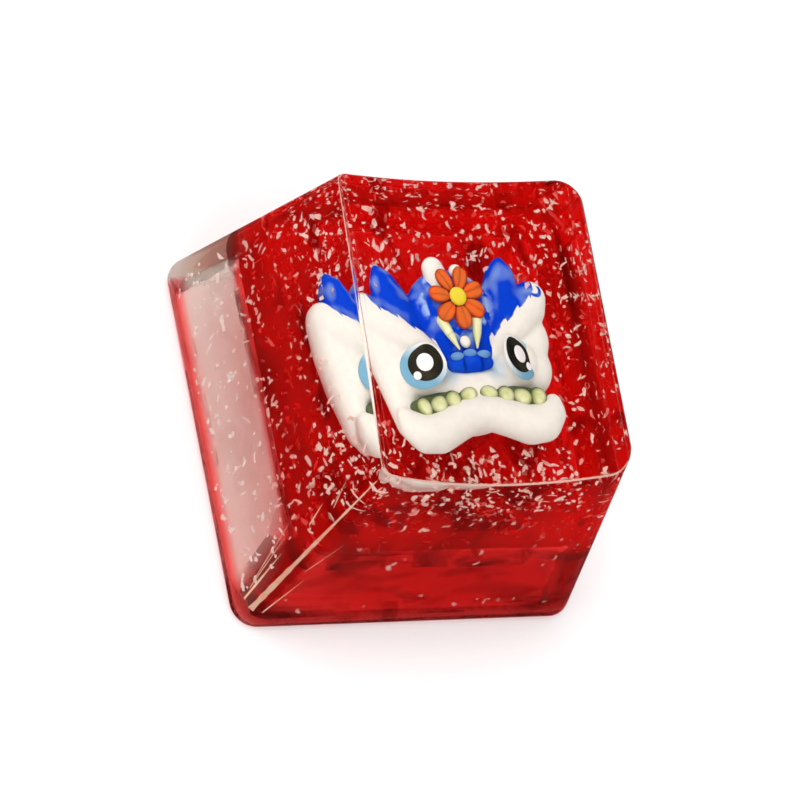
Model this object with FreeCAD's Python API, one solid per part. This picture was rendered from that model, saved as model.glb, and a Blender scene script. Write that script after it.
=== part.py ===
import FreeCAD, Part
import math
import os

V = FreeCAD.Vector

# A cast resin keycap of one unit, with a small painted lion-dance head cast inside it.
# Origin: middle of the base rim. +Z up, +Y towards the back row, -Y towards the typist.

# Outer body
BASE_WIDTH = 18.2
BASE_DEPTH = 18.2
TOP_WIDTH = 12.85
TOP_DEPTH = 13.85
TOP_SHIFT_BACK = 1.05
FRONT_HEIGHT = 11.45
BACK_HEIGHT = 12.5
DISH_DEPTH = 0.85
CORNER_RADIUS = 1.25
TOP_CORNER_RADIUS_LEFT = 0.5
BASE_EDGE_RADIUS = 0.4
TOP_EDGE_BREAK = 0.1

# Hollow under the cap
SIDE_WALL = 1.0
FRONT_WALL = 1.7
BACK_WALL = 1.0
CAVITY_DEPTH = 4.3
CAVITY_CORNER_RADIUS = 1.0
CEILING_FILLET_RADIUS = 0.3

# Socket post for the cross stem of a key switch
POST_DIAMETER = 5.6
POST_RECESS = 0.2
POST_ROOT_FLARE = 0.4
CROSS_LENGTH = 4.1
CROSS_ARM_X = 1.32
CROSS_ARM_Y = 1.18
SOCKET_DEPTH = 3.9

# Place of the figure: resin over its middle plane at the bottom of the dish, and its turn
FIGURE_COVER = 3.15
FIGURE_SHIFT_BACK = 0.5
FIGURE_TURN_DEG = 4.5

# Figure, in its own frame: X across its face, Y to its crown, Z out of its face.
# A limb is (start, end, radii at even steps from start to end).
SKULL = ((0, 0.1, -2.0), (0, 0.1, 0.6), (2.5, 3.55, 3.7))
FOREHEAD = ((0, 1.9, -0.2), (0, 1.9, 1.35), (2.1, 1.9, 1.2))
RIGHT_SIDE_SHARE = 0.945
CHEEK = ((3.5, -0.9, -1.5), (3.5, -0.9, 1.1), (0.9, 1.6, 0.8))
TEMPLE = ((3.85, 0.6, -1.1), (3.85, 0.6, 0.85), (0.8, 1.5, 0.6))
SIDE_FUR = ((-5.0, 2.8, -0.1), (-3.85, -3.3, -0.15), (0.5, 0.95, 0.95, 0.6))
EYE = ((2.8, -0.65, 0.0), (2.8, -0.65, 1.5), (1.2, 1.1, 0.5))
MUZZLE = ((-2.6, -1.55, 0.6), (2.6, -1.55, 0.6), (0.4, 0.75, 0.75, 0.4))
NOSE = ((-1.25, -0.7, 1.15), (1.25, -0.7, 1.15), (0.3, 0.6, 0.6, 0.3))
BROW = ((1.25, -0.35, 1.05), (5.6, 2.85, -0.25), (0.3, 0.75, 1.05, 0.95, 0.3))
EAR = ((2.75, 1.5, -0.1), (3.72, 4.65, 0.05), (0.9, 1.05, 0.8, 0.15))
CROWN_KNOB = ((-0.3, 2.9, 0.5), (-0.6, 4.7, 0.6), (0.6, 0.7, 0.35))
LIP_INNER = ((-0.35, -2.8, 0.8), (4.0, -3.8, 0.8), (0.7, 0.84, 0.88, 0.5))
LIP_OUTER = ((2.3, -3.75, 0.8), (4.75, -2.45, 0.7), (0.55, 0.9, 0.8, 0.35))
TOOTH_RADIUS = 0.45
TOOTH_PLACES = ((0.55, -2.0), (1.35, -2.2), (2.2, -2.5), (3.05, -2.55))
TOOTH_BACK = 0.2
TOOTH_LENGTH = 1.2
FLOWER_PLACE = (0.1, 2.5)
FLOWER_PETALS = 7
PETAL_RADII = (0.52, 0.46)
PETAL_RING_RADIUS = 0.98
PETAL_BACK = 0.6
PETAL_FRONT = 1.62
BUTTON_RADII = (0.45, 0.3)
BUTTON_FRONT = 1.85

MEAN_HEIGHT = (FRONT_HEIGHT + BACK_HEIGHT) / 2
TOP_SLOPE = math.atan2(BACK_HEIGHT - FRONT_HEIGHT, TOP_DEPTH)
CUT_CLEARANCE = 1.0
BLANK_HEIGHT = BACK_HEIGHT + CUT_CLEARANCE
TOOL_REACH = 2 * BASE_DEPTH
SAME_PLACE = 1e-6
FIRST_PETAL_DEG = 90
NO_WALLS = (0, 0, 0)
SKIRT_WALLS = (SIDE_WALL, FRONT_WALL, BACK_WALL)


def rectangle_at(z, walls):
    """Corners of the tapering body's section at height z, inside side, front and back walls."""
    side_wall, front_wall, back_wall = walls
    share = z / MEAN_HEIGHT
    half_width = (BASE_WIDTH + (TOP_WIDTH - BASE_WIDTH) * share) / 2
    half_depth = (BASE_DEPTH + (TOP_DEPTH - BASE_DEPTH) * share) / 2
    shift = TOP_SHIFT_BACK * share
    x = half_width - side_wall
    front = shift - half_depth + front_wall
    back = shift + half_depth - back_wall
    return [V(-x, front, z), V(x, front, z), V(x, back, z), V(-x, back, z)]


def tapered_block(height, walls):
    """Flat-faced block that follows the body's taper from the base to the given height."""
    low = rectangle_at(0, walls)
    high = rectangle_at(height, walls)
    rings = [low[::-1], high]
    for index in range(4):
        ahead = (index + 1) % 4
        rings.append([low[index], low[ahead], high[ahead], high[index]])
    faces = [Part.Face(Part.makePolygon([*ring, ring[0]])) for ring in rings]
    return Part.makeSolid(Part.makeShell(faces))


def edges_at(shape, test):
    """Edges whose every vertex passes the test."""
    return [edge for edge in shape.Edges if all(test(vertex.Point) for vertex in edge.Vertexes)]


def corner_edge(block, corner, height, walls):
    """The slanting edge of a tapered block at one corner, numbered from the front left."""
    ends = (rectangle_at(0, walls)[corner], rectangle_at(height, walls)[corner])
    found = edges_at(block, lambda point: min(point.distanceToPoint(end) for end in ends) < SAME_PLACE)
    return found[0]


def make_outer_body():
    """Tapered block with round corners, cut by the dish of the finger rest."""
    block = tapered_block(BLANK_HEIGHT, NO_WALLS)
    end_radius = CORNER_RADIUS + (TOP_CORNER_RADIUS_LEFT - CORNER_RADIUS) * BLANK_HEIGHT / MEAN_HEIGHT
    for corner, high_radius in enumerate((end_radius, CORNER_RADIUS, CORNER_RADIUS, end_radius)):
        edge = corner_edge(block, corner, BLANK_HEIGHT, NO_WALLS)
        rising = edge.Vertexes[0].Z < edge.Vertexes[-1].Z
        radii = (CORNER_RADIUS, high_radius) if rising else (high_radius, CORNER_RADIUS)
        block = block.makeFillet(*radii, [edge])
    half_chord = TOP_WIDTH / 2
    dish_radius = (half_chord ** 2 + DISH_DEPTH ** 2) / (2 * DISH_DEPTH)
    along = V(0, math.cos(TOP_SLOPE), math.sin(TOP_SLOPE))
    lift = V(0, -math.sin(TOP_SLOPE), math.cos(TOP_SLOPE)) * (dish_radius - DISH_DEPTH)
    axis_start = V(0, TOP_SHIFT_BACK, MEAN_HEIGHT) + lift - along * TOOL_REACH
    dish = Part.makeCylinder(dish_radius, 2 * TOOL_REACH, axis_start, along)
    body = block.cut(dish)
    body = body.makeFillet(BASE_EDGE_RADIUS, edges_at(body, lambda point: abs(point.z) < SAME_PLACE))
    rim_edges = edges_at(body, lambda point: point.z > FRONT_HEIGHT - 2 * DISH_DEPTH)
    return body.makeChamfer(TOP_EDGE_BREAK, rim_edges)


def make_cavity():
    """Hollow that follows the body's taper inside the skirt's walls."""
    hollow = tapered_block(CAVITY_DEPTH, SKIRT_WALLS)
    corners = [corner_edge(hollow, corner, CAVITY_DEPTH, SKIRT_WALLS) for corner in range(4)]
    hollow = hollow.makeFillet(CAVITY_CORNER_RADIUS, corners)
    ceiling_edges = edges_at(hollow, lambda point: abs(point.z - CAVITY_DEPTH) < SAME_PLACE)
    return hollow.makeFillet(CEILING_FILLET_RADIUS, ceiling_edges)


def make_post():
    """Round post under the ceiling, flared at its root, on the switch's axis."""
    radius = POST_DIAMETER / 2
    flare = radius + POST_ROOT_FLARE
    flare_start = CAVITY_DEPTH - POST_ROOT_FLARE
    top = CAVITY_DEPTH + POST_ROOT_FLARE
    shank = [(0, POST_RECESS), (radius, POST_RECESS), (radius, flare_start)]
    root = [(flare, CAVITY_DEPTH), (flare, top), (0, top)]
    section = Part.Face(Part.makePolygon([V(x, 0, z) for x, z in [*shank, *root, shank[0]]]))
    return section.revolve(V(0, 0, 0), V(0, 0, 1), 360)


def make_cross_socket():
    """Cross-shaped socket that the switch's stem presses into."""
    low = POST_RECESS - CUT_CLEARANCE
    height = SOCKET_DEPTH + CUT_CLEARANCE
    arm_x = Part.makeBox(CROSS_LENGTH, CROSS_ARM_X, height, V(-CROSS_LENGTH / 2, -CROSS_ARM_X / 2, low))
    arm_y = Part.makeBox(CROSS_ARM_Y, CROSS_LENGTH, height, V(-CROSS_ARM_Y / 2, -CROSS_LENGTH / 2, low))
    return arm_x.fuse(arm_y).removeSplitter()


def limb(start, end, radii):
    """Round limb turned about its axis, through its radii at even steps."""
    axis = V(*end) - V(*start)
    step = axis.Length / (len(radii) - 1)
    swell = [V(radius, 0, index * step) for index, radius in enumerate(radii)]
    section = Part.Face(Part.makePolygon([V(0, 0, 0), *swell, V(0, 0, axis.Length), V(0, 0, 0)]))
    turned = section.revolve(V(0, 0, 0), V(0, 0, 1), 360)
    turned.Placement = FreeCAD.Placement(V(*start), FreeCAD.Rotation(V(0, 0, 1), axis))
    return turned


def both_sides(start, end, radii):
    """A limb on the left of the face, and its fellow set a little closer in on the right."""
    limbs = []
    for share in (-1, RIGHT_SIDE_SHARE):
        limbs.append(limb((share * start[0], *start[1:]), (share * end[0], *end[1:]), radii))
    return limbs


def make_flower():
    """Ring of petals around a button."""
    petals = []
    for index in range(FLOWER_PETALS):
        turn = math.radians(FIRST_PETAL_DEG + 360 * index / FLOWER_PETALS)
        foot = V(*FLOWER_PLACE, 0) + V(math.cos(turn), math.sin(turn), 0) * PETAL_RING_RADIUS
        petals.append(limb(foot + V(0, 0, PETAL_BACK), foot + V(0, 0, PETAL_FRONT), PETAL_RADII))
    button = limb((*FLOWER_PLACE, PETAL_BACK), (*FLOWER_PLACE, BUTTON_FRONT), BUTTON_RADII)
    return [*petals, button]


def make_figure():
    """Lion-dance head, one painted casting: face, ears, lip, teeth and crown flower."""
    masses = [limb(*mass) for mass in (FOREHEAD, MUZZLE, NOSE, CROWN_KNOB, SIDE_FUR)]
    for mass in (CHEEK, TEMPLE, EYE, BROW, EAR, LIP_INNER, LIP_OUTER):
        masses += both_sides(*mass)
    for x, y in TOOTH_PLACES:
        for side in (-1, 1):
            masses.append(Part.makeCylinder(TOOTH_RADIUS, TOOTH_LENGTH, V(side * x, y, TOOTH_BACK)))
    masses += make_flower()
    fused = limb(*SKULL).multiFuse(masses)
    figure = Part.makeSolid(fused.Solids[0].OuterShell)
    figure.rotate(V(0, 0, 0), V(0, 0, 1), FIGURE_TURN_DEG)
    figure.translate(V(0, FIGURE_SHIFT_BACK, MEAN_HEIGHT - DISH_DEPTH - FIGURE_COVER))
    return figure


os.makedirs("parts", exist_ok=True)

lion_head = make_figure()
casting = make_outer_body().cut(make_cavity()).fuse(make_post()).cut(make_cross_socket())
resin_body = casting.cut(lion_head)

for name, shape in (("resin_body", resin_body), ("lion_head", lion_head)):
    shape.exportStep(f"parts/{name}.step")
    print(name, "solids", len(shape.Solids), "valid", shape.isValid(), "volume", round(shape.Volume, 2))
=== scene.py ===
import math
import random

import bmesh
import bpy
from mathutils import Euler, Matrix, Vector


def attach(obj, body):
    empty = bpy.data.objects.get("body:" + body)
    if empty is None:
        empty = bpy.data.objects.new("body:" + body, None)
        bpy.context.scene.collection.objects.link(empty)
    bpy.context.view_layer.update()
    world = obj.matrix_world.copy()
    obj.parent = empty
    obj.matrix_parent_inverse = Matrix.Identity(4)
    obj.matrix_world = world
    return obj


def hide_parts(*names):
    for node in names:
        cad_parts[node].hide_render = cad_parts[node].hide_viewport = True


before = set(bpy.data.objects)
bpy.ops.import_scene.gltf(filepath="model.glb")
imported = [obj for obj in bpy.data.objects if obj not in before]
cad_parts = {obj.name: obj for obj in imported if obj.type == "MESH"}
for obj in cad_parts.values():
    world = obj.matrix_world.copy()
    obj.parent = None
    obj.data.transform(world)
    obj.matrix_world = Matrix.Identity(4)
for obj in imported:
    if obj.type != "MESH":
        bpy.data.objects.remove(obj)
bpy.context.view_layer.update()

# Resin body
# One casting of clear resin: a tapered block with a dished top, hollow below, with a post for a switch stem.
# It is poured in a mould and polished. The hollow is left satin, and the top edges have a painted highlight
# on the left and front and painted shade on the right.
MM = 0.001
BASE_WIDTH = 18.2 * MM
BASE_DEPTH = 18.2 * MM
TOP_WIDTH = 12.85 * MM
TOP_DEPTH = 13.85 * MM
TOP_SHIFT_BACK = 1.05 * MM
FRONT_HEIGHT = 11.45 * MM
BACK_HEIGHT = 12.5 * MM
MEAN_HEIGHT = (FRONT_HEIGHT + BACK_HEIGHT) / 2
BLANK_HEIGHT = BACK_HEIGHT + 1.0 * MM
DISH_DEPTH = 0.85 * MM
CORNER_RADIUS = 1.25 * MM
TOP_CORNER_RADIUS_LEFT = 0.5 * MM
BASE_EDGE_REACH = 0.5 * MM
TOP_EDGE_RADIUS = 0.1 * MM
SHARP_ANGLE = 0.6
HIGHLIGHT_LEFT_OF = -5 * MM
HIGHLIGHT_IN_FRONT_OF = -4 * MM
SKIRT_WALL = 1.0 * MM
FRONT_WALL = 1.7 * MM
BACK_WALL = 1.0 * MM
CAVITY_DEPTH = 4.3 * MM
CAVITY_CORNER_RADIUS = 1.0 * MM
CEILING_FILLET_RADIUS = 0.3 * MM
POST_RADIUS = 2.8 * MM
POST_RECESS = 0.2 * MM
POST_ROOT_FLARE = 0.4 * MM
CROSS_LENGTH = 4.1 * MM
CROSS_ARM_X = 1.32 * MM
CROSS_ARM_Y = 1.18 * MM
SOCKET_DEPTH = 3.9 * MM
TOOL_REACH = 1.0 * MM
FACE_MARGIN = 0.1 * MM
SAME = 0.001 * MM
RESIN_IOR = 1.5
SATIN_WAVES = 0.2 * MM
CLEAR_FACE, SATIN_FACE, HIGHLIGHT_FACE, SHADED_FACE = range(4)


def node_adder(tree):
    """A function that adds a node to a tree, links the inputs given as sockets and sets the others."""
    def add(kind, inputs=(), **settings):
        node = tree.nodes.new("ShaderNode" + kind)
        for name, setting in settings.items():
            setattr(node, name, setting)
        for name, value in dict(inputs).items():
            if isinstance(value, bpy.types.NodeSocket):
                tree.links.new(value, node.inputs[name])
            else:
                node.inputs[name].default_value = value
        return node

    return add


def new_material(name):
    """An empty material, and the function that adds nodes to it."""
    material = bpy.data.materials.new(name)
    material.use_nodes = True
    material.node_tree.nodes.clear()
    return material, node_adder(material.node_tree)


def new_group(name, inputs, output, kind):
    """An empty shader group: its tree, its node adder, the sockets it is given and the one it answers by."""
    group = bpy.data.node_groups.new(name, "ShaderNodeTree")
    for label, label_kind in inputs.items():
        group.interface.new_socket(label, in_out="INPUT", socket_type="NodeSocket" + label_kind)
    group.interface.new_socket(output, in_out="OUTPUT", socket_type="NodeSocket" + kind)
    given = group.nodes.new("NodeGroupInput").outputs
    answer = group.nodes.new("NodeGroupOutput").inputs[output]
    return group, node_adder(group), given, answer


def mix_tones(add, mask, low, high):
    """The colour between two tones that a mask picks."""
    return add("Mix", {0: mask, 6: low, 7: high}, data_type="RGBA").outputs[2]


POLISH_INPUTS = {"Finest": "Float", "Coarsest": "Float"}
hand_polish, add, given, answer = new_group("hand_polish", POLISH_INPUTS, "Roughness", "Float")
streaks = add("TexNoise", {"Vector": add("TexCoord").outputs["Object"], "Scale": 900.0}).outputs["Fac"]
sheen = add("MapRange", {"Value": streaks, "To Min": given["Finest"], "To Max": given["Coarsest"]})
hand_polish.links.new(sheen.outputs["Result"], answer)

TONE_INPUTS = {"Scale": "Float", "Low": "Float", "High": "Float", "Tone": "Color", "Other Tone": "Color"}
two_tones, add, given, answer = new_group("two_tones", TONE_INPUTS, "Color", "Color")
clouds = add("TexNoise", {"Vector": add("TexCoord").outputs["Object"], "Scale": given["Scale"]})
mask = add("MapRange", {"Value": clouds.outputs["Fac"], "From Min": given["Low"], "From Max": given["High"]})
two_tones.links.new(mix_tones(add, mask.outputs["Result"], given["Tone"], given["Other Tone"]), answer)


def resin_material(name, gloss_outside, gloss_inside, finest, coarsest, waves=0):
    """Clear resin: it bends light, mirrors a share of it from either side, and lets the lamps through."""
    material, add = new_material(name)
    polish = add("Group", {"Finest": finest, "Coarsest": coarsest}, node_tree=hand_polish)
    finish = {"Roughness": polish.outputs["Roughness"], "IOR": RESIN_IOR}
    if waves:
        place = add("TexCoord").outputs["Object"]
        swirls = add("TexNoise", {"Vector": place, "Scale": 450.0, "Detail": 1.0})
        ripple = add("Bump", {"Height": swirls.outputs["Fac"], "Strength": 1.0, "Distance": waves})
        finish["Normal"] = ripple.outputs["Normal"]
    glass = add("BsdfPrincipled", {**finish, "Base Color": (1, 1, 1, 1), "Transmission Weight": 1.0})
    clear = add("BsdfRefraction", finish)
    from_inside = add("NewGeometry").outputs["Backfacing"]
    gloss = add("MapRange", {"Value": from_inside, "To Min": gloss_outside, "To Max": gloss_inside})
    polished = add("MixShader", {0: gloss.outputs["Result"], 1: clear.outputs[0], 2: glass.outputs[0]})
    to_lamp = add("LightPath").outputs["Is Shadow Ray"]
    lit = add("MixShader", {0: to_lamp, 1: polished.outputs[0], 2: add("BsdfTransparent").outputs[0]})
    add("OutputMaterial", {"Surface": lit.outputs[0]})
    return material


def edge_material(name, tone, other_tone):
    """An edge whose light is painted: half of it is a coat in two tones, pale where it paints a highlight
    and dark where it paints shade, and half is dulled resin.
    """
    material, add = new_material(name)
    grain = {"Scale": 4000.0, "Low": 0.0, "High": 1.0, "Tone": tone, "Other Tone": other_tone}
    tones = add("Group", grain, node_tree=two_tones).outputs["Color"]
    painted_light_coat = add("BsdfPrincipled", {"Base Color": tones, "Roughness": 0.5})
    dulled = add("BsdfPrincipled", {"Transmission Weight": 1.0, "IOR": RESIN_IOR, "Roughness": 0.1})
    coated_edge = add("MixShader", {0: 0.5, 1: painted_light_coat.outputs[0], 2: dulled.outputs[0]})
    add("OutputMaterial", {"Surface": coated_edge.outputs[0]})
    return material


def make_active(piece):
    """Makes a piece the only one selected, and the active one."""
    bpy.ops.object.select_all(action="DESELECT")
    piece.select_set(True)
    bpy.context.view_layer.objects.active = piece


def open_for_editing(piece):
    """Makes a piece the only one selected, and opens it in edit mode with nothing in it selected."""
    make_active(piece)
    bpy.ops.object.mode_set(mode="EDIT")
    bpy.ops.mesh.select_all(action="DESELECT")


def pick(piece, kind, test):
    """Selects the points, edges or faces of the piece being edited that pass the test, and no others."""
    bpy.ops.mesh.select_mode(type=kind)
    bpy.ops.mesh.select_all(action="DESELECT")
    form = bmesh.from_edit_mesh(piece.data)
    form.normal_update()
    for element in {"VERT": form.verts, "EDGE": form.edges, "FACE": form.faces}[kind]:
        element.select_set(test(element))
    bmesh.update_edit_mesh(piece.data)


def ends_at(edge, test):
    """Whether both ends of an edge pass a test."""
    return all(test(vert.co) for vert in edge.verts)


def rise(edge):
    """How far an edge climbs."""
    return abs(edge.verts[0].co.z - edge.verts[1].co.z)


def round_edges(offset, segments):
    """Rounds the picked edges."""
    bpy.ops.mesh.bevel(offset=offset, segments=segments, affect="EDGES")


def apply_all(piece):
    """Applies a piece's modifiers in order."""
    make_active(piece)
    for modifier in [*piece.modifiers]:
        bpy.ops.object.modifier_apply(modifier=modifier.name)


def carve(piece, tool, operation):
    """Joins a tool's shape to a piece, cuts it out or keeps what they share, and removes the tool."""
    carving = piece.modifiers.new("carve", "BOOLEAN")
    carving.object = tool
    carving.operation = operation
    carving.solver = "EXACT"
    apply_all(piece)
    bpy.data.objects.remove(tool)


def add_block(place, size):
    """A plain block, as a start or a tool."""
    bpy.ops.object.select_all(action="DESELECT")
    bpy.ops.mesh.primitive_cube_add(size=1, location=place, scale=size)
    bpy.ops.object.transform_apply(location=True, rotation=True, scale=True)
    return bpy.context.object


def half_sizes(z):
    """The body's half width and half depth at a height, and how far its middle has moved back there."""
    share = z / MEAN_HEIGHT
    half_width = (BASE_WIDTH + (TOP_WIDTH - BASE_WIDTH) * share) / 2
    half_depth = (BASE_DEPTH + (TOP_DEPTH - BASE_DEPTH) * share) / 2
    return half_width, half_depth, TOP_SHIFT_BACK * share


def tapered_block(name, low, high, side_inset, front_inset, back_inset):
    """A block with the body's taper between two heights, drawn in by its insets, left open for editing."""
    block = add_block((0, 0, (low + high) / 2), (BASE_WIDTH, BASE_DEPTH, high - low))
    block.name = name
    open_for_editing(block)
    for z in (low, high):
        half_width, half_depth, shift = half_sizes(z)
        width_share = 2 * (half_width - side_inset) / BASE_WIDTH
        depth_share = (2 * half_depth - front_inset - back_inset) / BASE_DEPTH
        pick(block, "VERT", lambda vert: abs(vert.co.z - z) < SAME)
        bpy.ops.transform.resize(value=(width_share, depth_share, 1), center_override=(0, 0, z))
        bpy.ops.transform.translate(value=(0, shift + (front_inset - back_inset) / 2, 0))
    return block


resin_body = tapered_block("resin_casting", 0, BLANK_HEIGHT, 0, 0, 0)
clear_resin = resin_material("clear_resin", gloss_outside=0.06, gloss_inside=1.0, finest=0.0, coarsest=0.03)
satin_resin = resin_material("satin_resin", gloss_outside=0.15, gloss_inside=0.6, finest=0.2, coarsest=0.3,
                             waves=SATIN_WAVES)
# Painted light on the top edges: pale tones paint a highlight at the left and front, dark red tones paint
# shade at the right.
painted_highlight_edge = edge_material("painted_highlight_edge", (0.95, 0.5, 0.36, 1), (0.98, 0.8, 0.66, 1))
painted_shade_edge = edge_material("painted_shade_edge", (0.1, 0.006, 0.006, 1), (0.2, 0.02, 0.015, 1))
for material in (clear_resin, satin_resin, painted_highlight_edge, painted_shade_edge):
    resin_body.data.materials.append(material)
blank_points = [vert.co.copy() for vert in bmesh.from_edit_mesh(resin_body.data).verts]
pick(resin_body, "EDGE", lambda edge: rise(edge) > MEAN_HEIGHT)
round_edges(CORNER_RADIUS, 14)
sharper_by = (TOP_CORNER_RADIUS_LEFT - CORNER_RADIUS) * BLANK_HEIGHT / MEAN_HEIGHT
sharpening = (CORNER_RADIUS + sharper_by) / CORNER_RADIUS
for corner in blank_points:
    if corner.x < 0 and corner.z > MEAN_HEIGHT:
        pick(resin_body, "VERT", lambda vert: (vert.co - corner).length < 1.2 * CORNER_RADIUS)
        bpy.ops.transform.resize(value=(sharpening, sharpening, 1), center_override=corner)
pick(resin_body, "EDGE", lambda edge: ends_at(edge, lambda point: abs(point.z) < SAME))
round_edges(BASE_EDGE_REACH, 6)
bpy.ops.object.mode_set(mode="OBJECT")

top_slope = math.atan2(BACK_HEIGHT - FRONT_HEIGHT, TOP_DEPTH)
dish_radius = ((TOP_WIDTH / 2) ** 2 + DISH_DEPTH ** 2) / (2 * DISH_DEPTH)
dish_lift = dish_radius - DISH_DEPTH
dish_back = TOP_SHIFT_BACK - math.sin(top_slope) * dish_lift
dish_centre = (0, dish_back, MEAN_HEIGHT + math.cos(top_slope) * dish_lift)
bpy.ops.object.select_all(action="DESELECT")
bpy.ops.mesh.primitive_cylinder_add(vertices=512, radius=dish_radius, depth=2 * BASE_DEPTH,
                                    location=dish_centre, rotation=(math.pi / 2 + top_slope, 0, 0))
carve(resin_body, bpy.context.object, "DIFFERENCE")


def round_the_top(edge):
    """Whether an edge is one of the sharp ones round the dished top."""
    high = ends_at(edge, lambda point: point.z > FRONT_HEIGHT - 2 * DISH_DEPTH)
    return high and edge.calc_face_angle(0) > SHARP_ANGLE


open_for_editing(resin_body)
pick(resin_body, "EDGE", round_the_top)
round_edges(TOP_EDGE_RADIUS, 3)
form = bmesh.from_edit_mesh(resin_body.data)
# Right-facing top edges get painted shade, and those at the left and front get a painted highlight.
for face in form.faces:
    middle = face.calc_center_median()
    lit_side = middle.x < HIGHLIGHT_LEFT_OF or middle.y < HIGHLIGHT_IN_FRONT_OF
    if face.select and face.normal.z < 0.9 and face.normal.x > 0.3:
        face.material_index = SHADED_FACE
    elif face.select and 0.45 < face.normal.z < 0.85 and lit_side:
        face.material_index = HIGHLIGHT_FACE
    else:
        face.material_index = CLEAR_FACE
bmesh.update_edit_mesh(resin_body.data)
bpy.ops.object.mode_set(mode="OBJECT")

cavity = tapered_block("cavity", -TOOL_REACH, CAVITY_DEPTH, SKIRT_WALL, FRONT_WALL, BACK_WALL)
pick(cavity, "EDGE", lambda edge: rise(edge) > CAVITY_DEPTH)
round_edges(CAVITY_CORNER_RADIUS, 10)
pick(cavity, "EDGE", lambda edge: ends_at(edge, lambda point: abs(point.z - CAVITY_DEPTH) < SAME))
round_edges(CEILING_FILLET_RADIUS, 6)
bpy.ops.object.mode_set(mode="OBJECT")
carve(resin_body, cavity, "DIFFERENCE")

post_height = CAVITY_DEPTH - POST_ROOT_FLARE - POST_RECESS
bpy.ops.object.select_all(action="DESELECT")
bpy.ops.mesh.primitive_cylinder_add(vertices=96, radius=POST_RADIUS, depth=post_height,
                                    location=(0, 0, POST_RECESS + post_height / 2))
bpy.ops.object.transform_apply(location=True, rotation=True, scale=True)
post = bpy.context.object
open_for_editing(post)
pick(post, "FACE", lambda face: face.normal.z > 0.9)
bpy.ops.mesh.extrude_region_move(TRANSFORM_OT_translate={"value": (0, 0, POST_ROOT_FLARE)})
flare = 1 + POST_ROOT_FLARE / POST_RADIUS
bpy.ops.transform.resize(value=(flare, flare, 1), center_override=(0, 0, CAVITY_DEPTH))
bpy.ops.mesh.extrude_region_move(TRANSFORM_OT_translate={"value": (0, 0, POST_ROOT_FLARE)})
bpy.ops.object.mode_set(mode="OBJECT")
carve(resin_body, post, "UNION")

socket_height = SOCKET_DEPTH + TOOL_REACH
socket_middle = (0, 0, POST_RECESS + SOCKET_DEPTH - socket_height / 2)
for arm in ((CROSS_LENGTH, CROSS_ARM_X), (CROSS_ARM_Y, CROSS_LENGTH)):
    carve(resin_body, add_block(socket_middle, (*arm, socket_height)), "DIFFERENCE")

make_active(resin_body)
bpy.ops.object.shade_smooth_by_angle(angle=math.radians(40))
flats = resin_body.modifiers.new("flats", "WEIGHTED_NORMAL")
flats.keep_sharp = True
flats.weight = 100
apply_all(resin_body)


def in_hollow(point):
    """Whether a point of the body's surface lies in its hollow."""
    half_width, half_depth, shift = half_sizes(point.z)
    front = shift - half_depth + FRONT_WALL - FACE_MARGIN
    back = shift + half_depth - BACK_WALL + FACE_MARGIN
    between_sides = abs(point.x) < half_width - SKIRT_WALL + FACE_MARGIN
    return point.z < CAVITY_DEPTH + FACE_MARGIN and between_sides and front < point.y < back


for face in resin_body.data.polygons:
    if in_hollow(face.center):
        face.material_index = SATIN_FACE
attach(resin_body, "root")
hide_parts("resin_body")

# Tinted pours
# The coloured part of the same casting: strong red under the figure and in most of the skirt, and next to
# no red in the left wall and the back left corner, where the pour ran thin. Each one ends a hair inside the
# surface.
POUR_INSET = 0.05 * MM
SKIN = 0.25 * MM
RED_TOP = 7.0 * MM
RIM_TOP = 0.7 * MM
THIN_WALL_EDGE = (-8.1 * MM, -7.4 * MM, 0)
THIN_WALL_SIDE = Vector((0.979, -0.196, -0.06))
FRONT_STRETCH = (0, -5.6 * MM, 0)
CORNER_PLACE = Vector((-7.3, 9.0, 0)) * MM
CORNER_SIZE = Vector((5.0, 2.0, 4.0)) * MM
CORNER_GAP = Vector((0.1, 0.1, 0.1)) * MM
RED_HAZE = (1.0, 0.03, 0.015, 1)
RIM_HAZE = (1.0, 0.1, 0.08, 1)
PALE_HAZE = (1.0, 0.76, 0.69, 1)
NO_TINT = (1, 1, 1, 1)
SETTLED = (1.0, 0.55, 0.8)
DRAWN_ALONG_FRONT = (0.3, 1.0, 0.8)


def pour_block(name, low, high, skin=SKIN):
    """A tinted block under a clear skin, with the body's rounded corners."""
    block = tapered_block(name, low, high, skin, skin, skin)
    pick(block, "EDGE", lambda edge: rise(edge) > SAME)
    round_edges(CORNER_RADIUS - skin, 10)
    if low < BASE_EDGE_REACH:
        pick(block, "EDGE", lambda edge: ends_at(edge, lambda point: abs(point.z - low) < SAME))
        round_edges(BASE_EDGE_REACH, 6)
    bpy.ops.object.mode_set(mode="OBJECT")
    return block


def pour_ring(name, low, high, skin=SKIN):
    """A tinted block hollowed for the cavity."""
    ring = pour_block(name, low, high, skin)
    walls = (SKIRT_WALL - POUR_INSET, FRONT_WALL - POUR_INSET, BACK_WALL - POUR_INSET)
    hollow = tapered_block("hollow", low - TOOL_REACH, high + TOOL_REACH, *walls)
    pick(hollow, "EDGE", lambda edge: rise(edge) > SAME)
    round_edges(CAVITY_CORNER_RADIUS + POUR_INSET, 10)
    bpy.ops.object.mode_set(mode="OBJECT")
    carve(ring, hollow, "DIFFERENCE")
    return ring


def skirt_ring(name):
    """A ring of the skirt above its rim."""
    return pour_ring(name, RIM_TOP + POUR_INSET, CAVITY_DEPTH)


def cut_past(piece, point, direction):
    """Cuts away what lies past a plane, on the side its direction points to."""
    open_for_editing(piece)
    bpy.ops.mesh.select_all(action="SELECT")
    bpy.ops.mesh.bisect(plane_co=point, plane_no=direction, use_fill=True, clear_outer=True)
    bpy.ops.object.mode_set(mode="OBJECT")


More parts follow.
